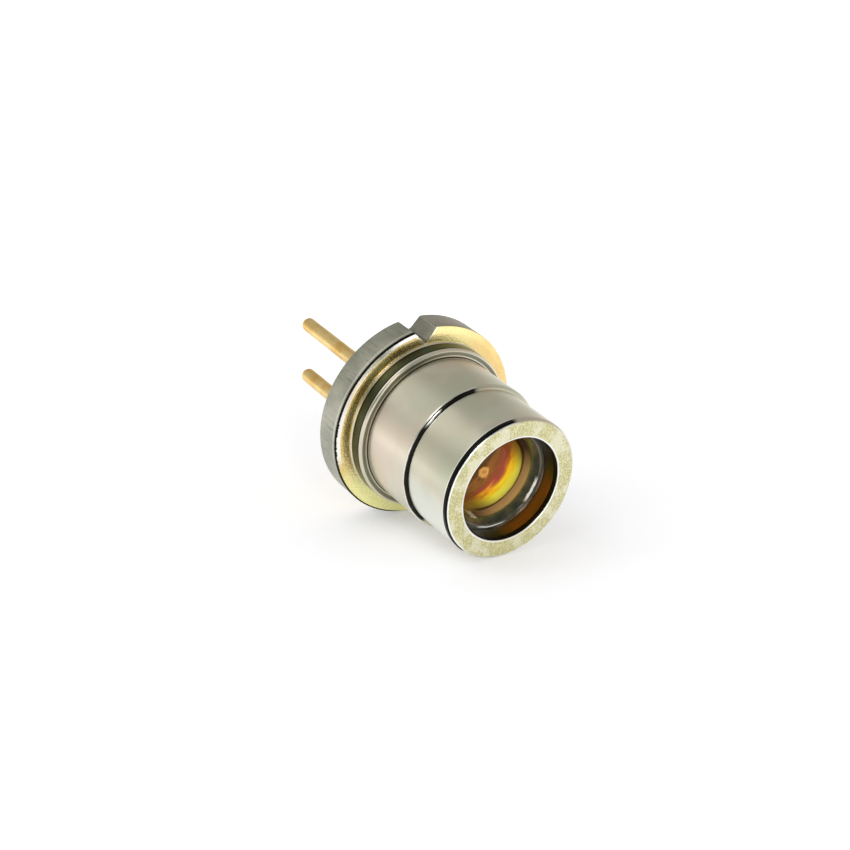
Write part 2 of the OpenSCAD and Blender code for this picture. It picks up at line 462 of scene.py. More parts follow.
def cap_foot(tree, colour, radius, z):
    """Painted dark reflection on the foot ring, greener in its middle and on its top, and painted shade in
    the root of the barrel above it.
    """
    foot = ramp(tree, radius, 2.2, 2.25)
    wall = product(tree, band(tree, z, 0.07, 0.40, 0.012), foot)
    colour = covered(tree, colour, wall, (0.015, 0.014, 0.008))
    middle = product(tree, band(tree, z, 0.12, 0.36, 0.02), foot)
    colour = covered(tree, colour, middle, (0.085, 0.10, 0.06))
    above = product(tree, ramp(tree, z, 0.44, 0.47), ramp(tree, z, 0.56, 0.52))
    top = product(tree, above, band(tree, radius, 2.175, 2.275, 0.012))
    colour = covered(tree, colour, top, (0.15, 0.16, 0.10), 0.9)
    root = product(tree, band(tree, z, 0.48, 0.535, 0.012), band(tree, radius, 2.08, 2.145, 0.01))
    return covered(tree, colour, root, (0.03, 0.028, 0.02), 0.95)


def cap_shoulder(tree, colour, radius, jittered_z, seen, fade, sector):
    """Painted dark reflection as a black line along the shoulder, in a painted pale halo and with a
    painted white highlight sliver.
    """
    outside = ramp(tree, radius, 1.8, 1.9)
    halo = product(tree, band(tree, jittered_z, 2.225, 2.34, 0.008), outside, seen)
    colour = covered(tree, colour, halo, (0.93, 0.92, 0.84), 0.8)
    line = product(tree, band(tree, jittered_z, 2.245, 2.315, 0.01), outside, fade)
    colour = covered(tree, colour, line, (0.02, 0.02, 0.015))
    sliver = product(tree, band(tree, jittered_z, 2.27, 2.288, 0.006), outside, sector(38, 6, 4))
    return covered(tree, colour, sliver, (0.95, 0.95, 0.85))


def cap_nose_edge(tree, colour, radius, z, seen, fade):
    """Painted dark reflection as a black line round the nose's edge, with a painted pale halo behind it
    and a painted white highlight on the rim before it.
    """
    edge = ramp(tree, radius, 1.93, 1.945)
    halo = product(tree, band(tree, z, 3.87, 3.905, 0.008), edge, seen)
    colour = covered(tree, colour, halo, (0.93, 0.92, 0.84), 0.8)
    line = product(tree, band(tree, z, 3.90, 4.03, 0.008), edge, fade)
    colour = covered(tree, colour, line, (0.012, 0.012, 0.01))
    rim = product(tree, ramp(tree, z, 4.025, 4.035), ramp(tree, radius, 1.925, 1.935), seen)
    return covered(tree, colour, rim, (1.0, 1.0, 0.97))


def cap_bore(tree, colour, radius, z, wobble, patch, sector):
    """Painted shade in the bore with a painted lit brown side and a painted glint, then a painted dark
    reflection on its lip and a painted white highlight on its mouth.
    """
    bore = product(tree, ramp(tree, radius, 1.47, 1.455), ramp(tree, z, 2.2, 2.3))
    wall = mixed(tree, sector(222, 38, 14), (0.06, 0.06, 0.045), (0.20, 0.075, 0.042))
    wall = covered(tree, wall, ramp(tree, patch, 0.45, 0.65), (0.11, 0.07, 0.055), 0.6)
    colour = covered(tree, colour, bore, wall)
    glint = product(tree, bore, band(tree, z, 3.47, 3.52, 0.008), sector(222, 42, 10))
    colour = covered(tree, colour, glint, (0.95, 0.80, 0.62), 0.8)
    upper = ramp(tree, maths(tree, "ADD", z, wobble), 3.90, 3.92)
    lip = product(tree, ramp(tree, radius, 1.485, 1.475), upper)
    colour = covered(tree, colour, lip, (0.012, 0.01, 0.008))
    ring = band(tree, maths(tree, "ADD", radius, wobble), 1.485, 1.525, 0.006)
    mouth = product(tree, ramp(tree, z, 4.0, 4.01), ring)
    return covered(tree, colour, mouth, (0.98, 0.97, 0.92))


def cap_metal():
    """Satin nickel with faint turning lines, tinted patches, painted shade and painted light on two sides
    of the front barrel, painted dark reflections on the bevels and a pale grained nose.
    """
    material, tree, shader = new_material("cap_metal")
    place = coordinates(tree)
    radius, x, y, z = polar(tree, place)
    sector = partial(arc_mask, tree, x, y, radius)
    cloud = noise(tree, place, 0.75, 2)
    tint = noise(tree, place, 0.55, 1, distortion=0.4)
    grain = noise(tree, place, 26, 3, 0.65)
    patch = noise(tree, place, 2.4, 3)
    colour = mixed(tree, ramp(tree, cloud, 0.35, 0.65), (0.61, 0.58, 0.45), (0.71, 0.68, 0.55))
    colour = covered(tree, colour, ramp(tree, tint, 0.5, 0.66), (0.74, 0.59, 0.48), 0.45)
    colour = covered(tree, colour, ramp(tree, tint, 0.48, 0.34), (0.57, 0.62, 0.49), 0.4)

    # Painted shade: one side of the front barrel darker and greener; painted light: another side paler.
    ahead = ramp(tree, z, 2.3, 2.4)
    greener = product(tree, sector(58, 12, 14), ahead)
    colour = covered(tree, colour, greener, (0.50, 0.54, 0.40), 0.5)
    paler = product(tree, sector(116, 22, 16), ahead)
    colour = covered(tree, colour, paler, (0.84, 0.88, 0.82), 0.8)

    nose = product(tree, ramp(tree, z, 4.0, 4.03), ramp(tree, facing_axis(tree), 0.8, 0.95))
    cream = mixed(tree, ramp(tree, grain, 0.42, 0.62), (0.58, 0.55, 0.28), (0.84, 0.80, 0.50))
    cream = covered(tree, cream, ramp(tree, patch, 0.48, 0.62), (0.90, 0.88, 0.72), 0.6)
    colour = mixed(tree, nose, colour, cream)

    colour = cap_foot(tree, colour, radius, z)
    wobble = uneven(tree, noise(tree, place, 2.2, 2), 0.03)
    jittered_z = maths(tree, "ADD", z, wobble)
    seen = sector(66, 68, 3)
    fade = spread(tree, seen, 0.12, 1.0)
    colour = cap_shoulder(tree, colour, radius, jittered_z, seen, fade, sector)
    colour = cap_nose_edge(tree, colour, radius, z, seen, fade)
    colour = cap_bore(tree, colour, radius, z, wobble, patch, sector)
    cavity = product(tree, ramp(tree, radius, 1.78, 1.76), ramp(tree, z, 2.35, 2.3))
    colour = covered(tree, colour, cavity, (0.98, 0.66, 0.22))
    link(tree, colour, shader.inputs["Base Color"])
    shader.inputs["Metallic"].default_value = 1

    turning = tree.nodes.new("ShaderNodeCombineXYZ")
    link(tree, maths(tree, "MULTIPLY", z, 60), turning.inputs[0])
    link(tree, maths(tree, "MULTIPLY", radius, 60), turning.inputs[1])
    rings = noise(tree, turning.outputs[0], 1.0, 2)
    rough = spread(tree, rings, 0.27, 0.37)
    rough = maths(tree, "ADD", rough, maths(tree, "MULTIPLY", nose, 0.15))
    rough = maths(tree, "ADD", rough, maths(tree, "MULTIPLY", cavity, 0.15))
    link(tree, rough, shader.inputs["Roughness"])
    relief = maths(tree, "ADD", maths(tree, "MULTIPLY", rings, 0.25), maths(tree, "MULTIPLY", grain, nose))
    bump(tree, shader, relief, 0.35, 0.008)
    return material


def lead_metal():
    """Satin gold plate drawn along the lead."""
    material, tree, shader = new_material("lead_metal")
    place = coordinates(tree)
    drawn = stretched(tree, place, (14, 14, 1.2), 3)
    cloud = noise(tree, place, 2.2, 3)
    colour = mixed(tree, ramp(tree, cloud, 0.35, 0.65), (0.76, 0.49, 0.15), (0.88, 0.66, 0.29))
    colour = mixed(tree, ramp(tree, drawn, 0.55, 0.8), colour, (0.58, 0.41, 0.14))
    link(tree, colour, shader.inputs["Base Color"])
    shader.inputs["Metallic"].default_value = 1
    link(tree, spread(tree, drawn, 0.26, 0.42), shader.inputs["Roughness"])
    bump(tree, shader, drawn, 0.3, 0.006)
    return material


def inner_gold():
    """Bright gold plate inside the can."""
    material, tree, shader = new_material("inner_gold")
    place = coordinates(tree)
    grain = noise(tree, place, 22, 3)
    colour = mixed(tree, grain, (0.86, 0.62, 0.20), (0.98, 0.80, 0.38))
    link(tree, colour, shader.inputs["Base Color"])
    shader.inputs["Metallic"].default_value = 1
    link(tree, spread(tree, grain, 0.18, 0.34), shader.inputs["Roughness"])
    bump(tree, shader, grain, 0.3, 0.008)
    return material


def sealing_glass(name, dark, light):
    """Fused opaque glass: glossy, streaked and slightly uneven."""
    material, tree, shader = new_material(name)
    place = coordinates(tree)
    cloud = noise(tree, place, 1.8, 3, distortion=0.6)
    ripple = noise(tree, place, 7, 2)
    colour = mixed(tree, ramp(tree, cloud, 0.35, 0.68), dark, light)
    link(tree, colour, shader.inputs["Base Color"])
    link(tree, spread(tree, ripple, 0.06, 0.2), shader.inputs["Roughness"])
    shader.inputs["Coat Weight"].default_value = 0.6
    shader.inputs["Coat Roughness"].default_value = 0.04
    bump(tree, shader, ripple, 0.35, 0.02)
    return material


def lens_painted_light(tree, place, s, t):
    """Painted light in bent, streaked bands, which run across the lens along s; painted shade makes it
    darker at both ends of t.
    """
    lie = tree.nodes.new("ShaderNodeCombineXYZ")
    link(tree, maths(tree, "MULTIPLY", s, 5.5), lie.inputs[0])
    link(tree, maths(tree, "MULTIPLY", t, 1.3), lie.inputs[1])
    streaks = noise(tree, lie.outputs[0], 1.0, 3, distortion=0.5)
    cloud = noise(tree, place, 2.0, 2)
    bend = maths(tree, "MULTIPLY", maths(tree, "MULTIPLY", t, t), 0.25)
    reach = maths(tree, "ADD", s, bend)
    reach = maths(tree, "ADD", reach, uneven(tree, streaks, 0.8))
    reach = maths(tree, "ADD", reach, uneven(tree, cloud, 0.4))
    stops = tree.nodes.new("ShaderNodeValToRGB")
    while len(stops.color_ramp.elements) < len(LENS_PAINTED_LIGHT):
        stops.color_ramp.elements.new(0.5)
    for element, (position, shade) in zip(stops.color_ramp.elements, LENS_PAINTED_LIGHT):
        element.position = position
        element.color = (*shade, 1)
    link(tree, ramp(tree, reach, -1.1, 1.1, smooth=False), stops.inputs[0])
    ends = maths(tree, "MAXIMUM", ramp(tree, t, -0.35, -0.95), ramp(tree, t, 0.45, 1.05))
    return covered(tree, stops.outputs[0], ends, (0.22, 0.10, 0.02), 0.85)


def lens_glint(tree, place, colour):
    """Painted ring-shaped orange glint, over the painted light of the lens."""
    spot = tree.nodes.new("ShaderNodeVectorMath")
    spot.operation = "DISTANCE"
    link(tree, place, spot.inputs[0])
    spot.inputs[1].default_value = LENS_GLINT
    wander = uneven(tree, noise(tree, place, 5, 2), 0.22)
    reach_out = maths(tree, "ADD", spot.outputs["Value"], wander)
    hollow = spread(tree, ramp(tree, reach_out, 0.02, 0.07), 0.6, 1.0)
    ring = maths(tree, "MULTIPLY", ramp(tree, reach_out, 0.17, 0.10), hollow)
    return covered(tree, colour, ring, (1.0, 0.50, 0.12), 0.7)


def lens_glass():
    """Coated glass with painted light that runs from brown over red to bright amber, standing in for the
    lit gold inside, and painted shade at its lower-left edge; lamps can shine through it.
    """
    material, tree, shader = new_material("lens_glass")
    place = coordinates(tree)
    radius, x, y, _ = polar(tree, place)
    s = distance_along(tree, x, y, 223)
    t = distance_along(tree, x, y, 313)
    colour = lens_painted_light(tree, place, s, t)
    colour = lens_glint(tree, place, colour)
    # Painted shade: a dark edge round the lower-left of the lens.
    lower_left = arc_mask(tree, x, y, radius, 240, 80, 20)
    edge = maths(tree, "MULTIPLY", ramp(tree, radius, 1.045, 1.075), lower_left)
    colour = covered(tree, colour, edge, (0.05, 0.012, 0.006), 0.9)
    link(tree, colour, shader.inputs["Base Color"])
    shader.inputs["Roughness"].default_value = 0.03
    shader.inputs["IOR"].default_value = 1.33
    shader.inputs["Transmission Weight"].default_value = 0.1
    shader.inputs["Specular IOR Level"].default_value = 0.15
    shader.inputs["Coat Weight"].default_value = 0.05
    shader.inputs["Coat Roughness"].default_value = 0.02
    clear = tree.nodes.new("ShaderNodeBsdfTransparent")
    clear.inputs["Color"].default_value = (1.0, 0.82, 0.5, 1)
    path = tree.nodes.new("ShaderNodeLightPath")
    blend = tree.nodes.new("ShaderNodeMixShader")
    output = tree.nodes["Material Output"]
    link(tree, path.outputs["Is Shadow Ray"], blend.inputs[0])
    link(tree, shader.outputs[0], blend.inputs[1])
    link(tree, clear.outputs[0], blend.inputs[2])
    link(tree, blend.outputs[0], output.inputs["Surface"])
    return material


def seal_glass():
    """Fused glass round the lens: dark green-grey on its funnel with a paler band on one side, brown in
    its throat with a painted tan reflection on one side, painted glints, glossy all over.
    """
    material, tree, shader = new_material("seal_glass")
    place = coordinates(tree)
    radius, x, y, z = polar(tree, place)
    sector = partial(arc_mask, tree, x, y, radius)
    cloud = noise(tree, place, 1.8, 3, distortion=0.6)
    ripple = noise(tree, place, 7, 2)
    dark = mixed(tree, ramp(tree, cloud, 0.35, 0.68), (0.035, 0.04, 0.028), (0.10, 0.085, 0.05))
    # Painted reflection: the throat tan on one side.
    tan = mixed(tree, sector(222, 45, 25), (0.12, 0.075, 0.04), (0.62, 0.36, 0.15))
    colour = mixed(tree, ramp(tree, z, 3.24, 3.16), dark, tan)
    jittered_radius = maths(tree, "ADD", radius, uneven(tree, ripple, 0.03))
    # Painted glints: white arcs on the funnel and pale tips at the throat's two ends.
    high = product(tree, band(tree, jittered_radius, 1.31, 1.345, 0.008), sector(238, 13, 5))
    low = product(tree, band(tree, jittered_radius, 1.37, 1.405, 0.008), sector(172, 16, 6))
    right = product(tree, band(tree, jittered_radius, 1.36, 1.38, 0.01), sector(290, 26, 16))
    colour = covered(tree, colour, maths(tree, "MAXIMUM", high, low), (0.95, 0.95, 0.90))
    colour = covered(tree, colour, right, (0.22, 0.24, 0.18))
    ends = maths(tree, "MAXIMUM", sector(319, 5, 4), sector(152, 4, 3))
    tips = maths(tree, "MULTIPLY", ramp(tree, jittered_radius, 1.25, 1.235), ends)
    colour = covered(tree, colour, tips, (0.95, 0.85, 0.65), 0.8)
    link(tree, colour, shader.inputs["Base Color"])
    link(tree, spread(tree, ripple, 0.05, 0.16), shader.inputs["Roughness"])
    shader.inputs["Coat Weight"].default_value = 0.8
    shader.inputs["Coat Roughness"].default_value = 0.03
    bump(tree, shader, ripple, 0.35, 0.02)
    return material


def ceramic():
    """Pale aluminium nitride with fine grains."""
    material, tree, shader = new_material("ceramic")
    place = coordinates(tree)
    grain = noise(tree, place, 40, 3)
    colour = mixed(tree, grain, (0.70, 0.68, 0.62), (0.88, 0.87, 0.82))
    link(tree, colour, shader.inputs["Base Color"])
    link(tree, spread(tree, grain, 0.45, 0.65), shader.inputs["Roughness"])
    bump(tree, shader, grain, 0.2, 0.004)
    return material


def crystal():
    """Polished semiconductor with a faint violet sheen."""
    material, tree, shader = new_material("crystal")
    place = coordinates(tree)
    cloud = noise(tree, place, 9, 2)
    colour = mixed(tree, cloud, (0.10, 0.11, 0.16), (0.22, 0.21, 0.28))
    link(tree, colour, shader.inputs["Base Color"])
    shader.inputs["Metallic"].default_value = 0.7
    link(tree, spread(tree, cloud, 0.12, 0.25), shader.inputs["Roughness"])
    return material


# ---------------------------------------------------------------- pieces

def flange_outline():
    """The flange's rim with its two V-notches, as points anticlockwise from the first notch."""
    slope = tan(NOTCH_HALF)
    apex = NOTCH_ROOT_X - NOTCH_ROOT_R / sin(NOTCH_HALF)
    a = 1 + slope * slope
    b = -2 * apex * slope * slope
    c = apex * apex * slope * slope - FLANGE_R * FLANGE_R
    shoulder_x = (-b + sqrt(b * b - 4 * a * c)) / (2 * a)
    shoulder_y = (shoulder_x - apex) * slope
    start = atan2(shoulder_y, shoulder_x)
    half = []
    root_sweep = 90 - NOTCH_HALF_DEGREES
    for point in arc((NOTCH_ROOT_X, 0), NOTCH_ROOT_R, 180, 180 - root_sweep, 6):
        half.append((point.x, point.y, 0))
    root_x, root_y, _ = half[-1]
    for k in (1, 2, 3, 4):
        t = k / 5
        half.append((root_x * (1 - t) + shoulder_x * t, root_y * (1 - t) + shoulder_y * t, 0))
    half.append((shoulder_x, shoulder_y, 0.06))
    first = start + radians(1.6)
    quarter = 64
    for k in range(quarter):
        angle = first + (pi / 2 - first) * k / quarter
        half.append((FLANGE_R * cos(angle), FLANGE_R * sin(angle), 0))
    top = half + [(0, FLANGE_R, 0)] + [(-x, y, r) for x, y, r in reversed(half)]
    bottom = [(x, -y, r) for x, y, r in reversed(top[1:-1])]
    return rounded(top + bottom, steps=4)


def flange_height(radius):
    """Height of the front face, which falls away over the shallow bevel."""
    fall = BEVEL_DROP / (FLANGE_R - BEVEL_IN_R)
    return -max(0.0, radius - BEVEL_IN_R) * fall


def base_piece():
    """Flange of rings that run from round to the notched rim, over the edge and to the back."""
    outline = flange_outline()
    count = len(outline)
    normals = []
    for i in range(count):
        along = outline[(i + 1) % count] - outline[i - 1]
        normals.append(Vector((along.y, -along.x)).normalized())
    shape = bmesh.new()

    def round_ring(radius, margin, z=None):
        ring = []
        for point in outline:
            far = min(radius, point.length - margin)
            place = point.normalized() * far
            height = flange_height(far) if z is None else z
            ring.append(shape.verts.new((place.x, place.y, height)))
        return ring

    def rim_ring(inset, drop=None, z=None):
        ring = []
        for point, normal in zip(outline, normals):
            place = point - normal * inset
            height = flange_height(place.length) - drop if z is None else z
            ring.append(shape.verts.new((place.x, place.y, height)))
        return ring

    rings = [[shape.verts.new((0, 0, 0))]]
    rings.append(round_ring(1.0, 0))
    rings.append(round_ring(2.30, 0))
    steps = (2.44, 2.50, 2.55, 2.585, 2.615, 2.68, 2.74)
    for k, radius in enumerate(steps):
        rings.append(round_ring(radius, 0.03 + 0.011 * (len(steps) - k)))
    edge = 0.022
    for degrees in (0, 22, 45, 68, 90):
        angle = radians(degrees)
        rings.append(rim_ring(edge * (1 - sin(angle)), edge * (1 - cos(angle))))
    rings.append(rim_ring(0, z=-0.3))
    rings.append(rim_ring(0, z=-0.55))
    back = 0.05
    for degrees in (0, 22, 45, 68, 90):
        angle = radians(degrees)
        rings.append(rim_ring(back * (1 - cos(angle)), z=-FLANGE_T + back * (1 - sin(angle))))
    rings.append(round_ring(2.30, 0, z=-FLANGE_T))
    rings.append(round_ring(1.9, 0, z=-FLANGE_T))
    rings.append([shape.verts.new((0, 0, -FLANGE_T))])
    for ring, after in zip(rings, rings[1:]):
        bridge(shape, ring, after)
    piece = finished("base_flange", shape)
    for turn in (LEAD_TURN, LEAD_TURN + pi):
        bore_hole(piece, on_lead_circle(turn))
    piece.data.set_sharp_from_angle(angle=radians(35))
    return piece


def bore_hole(piece, at):
    """Cuts a lead's hole, with a small countersink at each end, through the flange."""
    sink = 0.02
    half = [(HOLE_R + sink, 1), (HOLE_R + sink, 0), (HOLE_R, -sink)]
    other_half = [(HOLE_R, sink - FLANGE_T), (HOLE_R + sink, -FLANGE_T), (HOLE_R + sink, -2)]
    outline = [(0, 1)] + half + other_half + [(0, -2)]
    cutter = lathe("cutter", [Vector(p) for p in outline], 64, at)
    cut = piece.modifiers.new("hole", "BOOLEAN")
    cut.object = cutter
    cut.operation = "DIFFERENCE"
    cut.solver = "EXACT"
    graph = bpy.context.evaluated_depsgraph_get()
    mesh = bpy.data.meshes.new_from_object(piece.evaluated_get(graph))
    piece.modifiers.clear()
    piece.data = mesh
    bpy.data.objects.remove(cutter)


def lead_piece(name, turn, top_z, length, weld=0.0):
    """Lead with a domed tip; a weld gives it a flared root."""
    tip = -FLANGE_T - length
    outline = [Vector((0, tip))]
    outline += arc((0, tip + LEAD_R), LEAD_R, -90, 0, 14)[1:]
    for k in range(1, 13):
        outline.append(Vector((LEAD_R, tip + LEAD_R + (top_z - tip - LEAD_R - 0.12) * k / 13)))
    if weld:
        outline += arc((LEAD_R + weld, top_z - weld), weld, 180, 90, 6)
    else:
        outline += arc((LEAD_R - 0.03, top_z - 0.03), 0.03, 0, 90, 4)
    outline.append(Vector((0, top_z)))
    return lathe(name, outline, 64, on_lead_circle(turn))


def feed_glass_piece(name, turn):
    """Glass between a lead and its hole, creeping up both walls."""
    outline = []
    for z, way in ((-0.05, -1), (-FLANGE_T + 0.05, 1)):
        face = []
        for k in range(11):
            t = k / 10
            creep = 0.035 * (abs(2 * t - 1) ** 3)
            face.append(Vector((LEAD_R + (HOLE_R - LEAD_R) * t, z - way * creep)))
        outline += face if way == 1 else list(reversed(face))
    return lathe(name, outline, 72, on_lead_circle(turn))


def cap_piece():
    """Turned shell: foot, two barrels, nose, bore, ledge for the lens and the cavity."""
    outline = rounded([
        (CAVITY_R, 0, 0), (FOOT_FLARE_R, 0, 0),
        (FOOT_FLARE_R, 0.03, 0.012), (FOOT_R, 0.06, 0.012),
        (FOOT_R, FOOT_TOP_Z, 0.1), (REAR_R, FOOT_TOP_Z, 0.03),
        (REAR_R, SHOULDER_Z - 0.07, 0.02), (REAR_R - 0.07, SHOULDER_Z, 0.02),
        (FRONT_R, SHOULDER_Z, 0.015),
        (FRONT_R, NOSE_Z - 0.06, 0.02), (FRONT_R - 0.06, NOSE_Z, 0.02),
        (BORE_R + 0.04, NOSE_Z, 0.015), (BORE_R, NOSE_Z - 0.04, 0.015), (BORE_R, LEDGE_Z, 0),
        (APERTURE_R, LEDGE_Z, 0.02), (APERTURE_R, CAVITY_Z, 0.02), (CAVITY_R, CAVITY_Z, 0),
    ])
    return lathe("cap_shell", outline, 320)


def lens_piece():
    """Lens with a domed front and back and a flat rim that lies on the ledge."""
    front_base = 1.18
    back_base = 1.07
    front_r = 1.9
    back_r = 2.4
    rim_r = 1.43
    front_half = asin(front_base / front_r)
    back_half = asin(back_base / back_r)
    front_centre = LENS_TOP_Z - front_r * cos(front_half)
    back_centre = LEDGE_Z + back_r * cos(back_half)
    outline = []
    for k in range(33):
        angle = front_half * k / 32
        outline.append(Vector((front_r * sin(angle), front_centre + front_r * cos(angle))))
    outline += rounded([
        (1.2, LENS_TOP_Z, 0), (rim_r, LENS_TOP_Z, 0.02), (rim_r, LEDGE_Z, 0.02), (1.1, LEDGE_Z, 0),
    ], 4)
    for k in range(32, -1, -1):
        angle = back_half * k / 32
        outline.append(Vector((back_r * sin(angle), back_centre - back_r * cos(angle))))
    return lathe("lens_body", outline, 192)


def seal_piece():
    """Glass ring with a funnel and a throat, between the lens and the bore."""
    outline = rounded([
        (1.21, LENS_TOP_Z, 0), (BORE_R, LENS_TOP_Z, 0), (BORE_R, SEAL_TOP_Z, 0.0),
        (1.34, SEAL_TOP_Z, 0.04), (1.23, 3.23, 0.03),
    ], 6)
    return lathe("lens_seal_ring", outline, 256)


def block_piece(name, corners, z, edge):
    """Block with rounded edges, from its corners and its range of z in the laser's own frame."""
    shape = bmesh.new()
    low = [shape.verts.new(inside(x, y, z[0])) for x, y in corners]
    high = [shape.verts.new(inside(x, y, z[1])) for x, y in corners]
    shape.faces.new(list(reversed(low)))
    shape.faces.new(high)
    for k in range(len(corners)):
        j = (k + 1) % len(corners)
        shape.faces.new((low[k], low[j], high[j], high[k]))
    creases = [e for e in shape.edges if e.calc_face_angle(0) > 0.6]
    bmesh.ops.bevel(shape, geom=creases, offset=edge, segments=3, profile=0.5, affect="EDGES")
    return finished(name, shape, 25)


def box_piece(name, x, y, z, edge):
    """Box of the laser's own frame, from its three ranges."""
    corners = [(x[0], y[0]), (x[1], y[0]), (x[1], y[1]), (x[0], y[1])]
    return block_piece(name, corners, z, edge)


def heat_sink_piece():
    """Post with a flat face towards the laser and a round back."""
    radius = 1.5
    face_y = -0.47
    half_w = 0.85
    depth = sqrt(radius * radius - half_w * half_w)
    left = atan2(-depth, -half_w)
    right = atan2(-depth, half_w)
    outline = [(-half_w, face_y)]
    for k in range(25):
        angle = left + (right - left) * k / 24
        outline.append((radius * cos(angle), radius * sin(angle)))
    outline.append((half_w, face_y))
    return block_piece("heat_sink_post", outline, (0.0, 1.15), 0.03)


# ---------------------------------------------------------------- stage

def make_camera():
    """The photo's camera, and its directions to the right, up and back."""
    place = CAMERA_PLACE * MM
    back = (place - CAMERA_AIM * MM).normalized()
    right = CAMERA_UP.cross(back).normalized()
    up = back.cross(right)
    data = bpy.data.cameras.new("camera")
    data.sensor_width = 36
    data.sensor_fit = "HORIZONTAL"
    data.lens = CAMERA_LENS
    data.clip_start = 0.002
    data.clip_end = 5
    camera = bpy.data.objects.new("camera", data)
    turn = Matrix((right, up, back)).transposed().to_4x4()
    camera.matrix_world = Matrix.Translation(place) @ turn
    scene.collection.objects.link(camera)
    scene.camera = camera
    return right, up, back


def make_floor(right, up):
    """White table that the flange's rim and the nose rest on; returns its upward direction."""
    rim = Vector((FLANGE_R, -BEVEL_DROP))
    nose = Vector((FRONT_R, NOSE_Z - 0.06))
    lean = atan2(rim.x - nose.x, nose.y - rim.y)
    axis_part = -sin(lean)
    best = None
    for k in range(3600):
        angle = 2 * pi * k / 3600
        normal = Vector((cos(angle) * cos(lean), sin(angle) * cos(lean), axis_part))
        tilt = abs(normal.dot(right))
        if normal.dot(up) > 0 and (best is None or tilt < best[0]):
            best = (tilt, normal, angle)
    normal = best[1]
    angle = best[2]
    touch = Vector((-rim.x * cos(angle), -rim.x * sin(angle), rim.y)) - normal * 0.01
    size = 1500
    side = normal.orthogonal().normalized()
    other = normal.cross(side)
    shape = bmesh.new()
    signs = ((-1, -1), (1, -1), (1, 1), (-1, 1))
    corners = [touch + side * a * size + other * b * size for a, b in signs]
    face = shape.faces.new([shape.verts.new(c * MM) for c in corners])
    face.normal_update()
    if face.normal.dot(normal) < 0:
        face.normal_flip()
    mesh = bpy.data.meshes.new("floor")
    shape.to_mesh(mesh)
    shape.free()
    floor = bpy.data.objects.new("floor", mesh)
    scene.collection.objects.link(floor)
    floor.data.materials.append(floor_material())
    return normal


def floor_material():
    """White paper, seen from above only, that glows a little more the farther it is from the part."""
    material, tree, shader = new_material("floor_paper")
    tree.nodes.remove(shader)
    paper = tree.nodes.new("ShaderNodeBsdfDiffuse")
    paper.inputs["Color"].default_value = (0.88, 0.88, 0.90, 1)
    glow = tree.nodes.new("ShaderNodeEmission")
    away = tree.nodes.new("ShaderNodeVectorMath")
    away.operation = "LENGTH"
    link(tree, coordinates(tree), away.inputs[0])
    strength = spread(tree, ramp(tree, away.outputs["Value"], 9, 30), 0.30, 0.75)
    link(tree, maths(tree, "MULTIPLY", seen_directly(tree), strength), glow.inputs["Strength"])
    both = tree.nodes.new("ShaderNodeAddShader")
    link(tree, paper.outputs[0], both.inputs[0])
    link(tree, glow.outputs[0], both.inputs[1])
    clear = tree.nodes.new("ShaderNodeBsdfTransparent")
    side = tree.nodes.new("ShaderNodeNewGeometry")
    blend = tree.nodes.new("ShaderNodeMixShader")
    link(tree, side.outputs["Backfacing"], blend.inputs[0])
    link(tree, both.outputs[0], blend.inputs[1])
    link(tree, clear.outputs[0], blend.inputs[2])
    link(tree, blend.outputs[0], tree.nodes["Material Output"].inputs["Surface"])
    return material


def make_world():
    """White all round, dimmer for the light that falls on the object."""
    world = bpy.data.worlds.new("studio")
    scene.world = world
    world.use_nodes = True
    tree = world.node_tree
    background = tree.nodes["Background"]
    background.inputs["Color"].default_value = (1, 1, 1, 1)
    link(tree, spread(tree, seen_directly(tree), 0.6, 1.0), background.inputs["Strength"])


def make_tent(floor_up, front):
    """Grey cloth over the table, seen only mirrored: pale low down, dark on the photo's side."""
    across = floor_up.cross(front).normalized()
    front = across.cross(floor_up)
    shape = bmesh.new()
    bmesh.ops.create_uvsphere(shape, u_segments=48, v_segments=24, radius=400 * MM)
    low = [v for v in shape.verts if v.co.z < -1e-6]
    bmesh.ops.delete(shape, geom=low, context="VERTS")
    mesh = bpy.data.meshes.new("tent")
    shape.to_mesh(mesh)
    shape.free()
    tent = bpy.data.objects.new("tent", mesh)
    tent.matrix_world = Matrix((front, across, floor_up)).transposed().to_4x4()
    scene.collection.objects.link(tent)
    material, tree, shader = new_material("tent_cloth")
    tree.nodes.remove(shader)
    place = tree.nodes.new("ShaderNodeTexCoord")
    way = tree.nodes.new("ShaderNodeVectorMath")
    way.operation = "NORMALIZE"
    link(tree, place.outputs["Object"], way.inputs[0])
    parts = tree.nodes.new("ShaderNodeSeparateXYZ")
    link(tree, way.outputs[0], parts.inputs[0])
    ahead, _, height = parts.outputs
    grey = spread(tree, ramp(tree, height, 0.02, 0.6), 0.95, 0.5)
    camera_side = maths(tree, "MULTIPLY", ramp(tree, ahead, 0.35, 0.75), 0.9)
    grey = maths(tree, "MULTIPLY", grey, maths(tree, "SUBTRACT", 1.0, camera_side))
    glow = tree.nodes.new("ShaderNodeEmission")
    glow.inputs["Color"].default_value = (1.0, 0.99, 0.95, 1)
    link(tree, grey, glow.inputs["Strength"])
    link(tree, glow.outputs[0], tree.nodes["Material Output"].inputs["Surface"])
    mesh.materials.append(material)
    tent.visible_camera = False
    tent.visible_diffuse = False
    tent.visible_transmission = False
    tent.visible_shadow = False


def hang(name, data, place, aim):
    """Puts a light at its place, shining towards its aim, both in millimetres."""
    light = bpy.data.objects.new(name, data)
    turn = (place - aim).normalized().to_track_quat("Z", "Y")
    light.matrix_world = Matrix.Translation(place * MM) @ turn.to_matrix().to_4x4()
    scene.collection.objects.link(light)


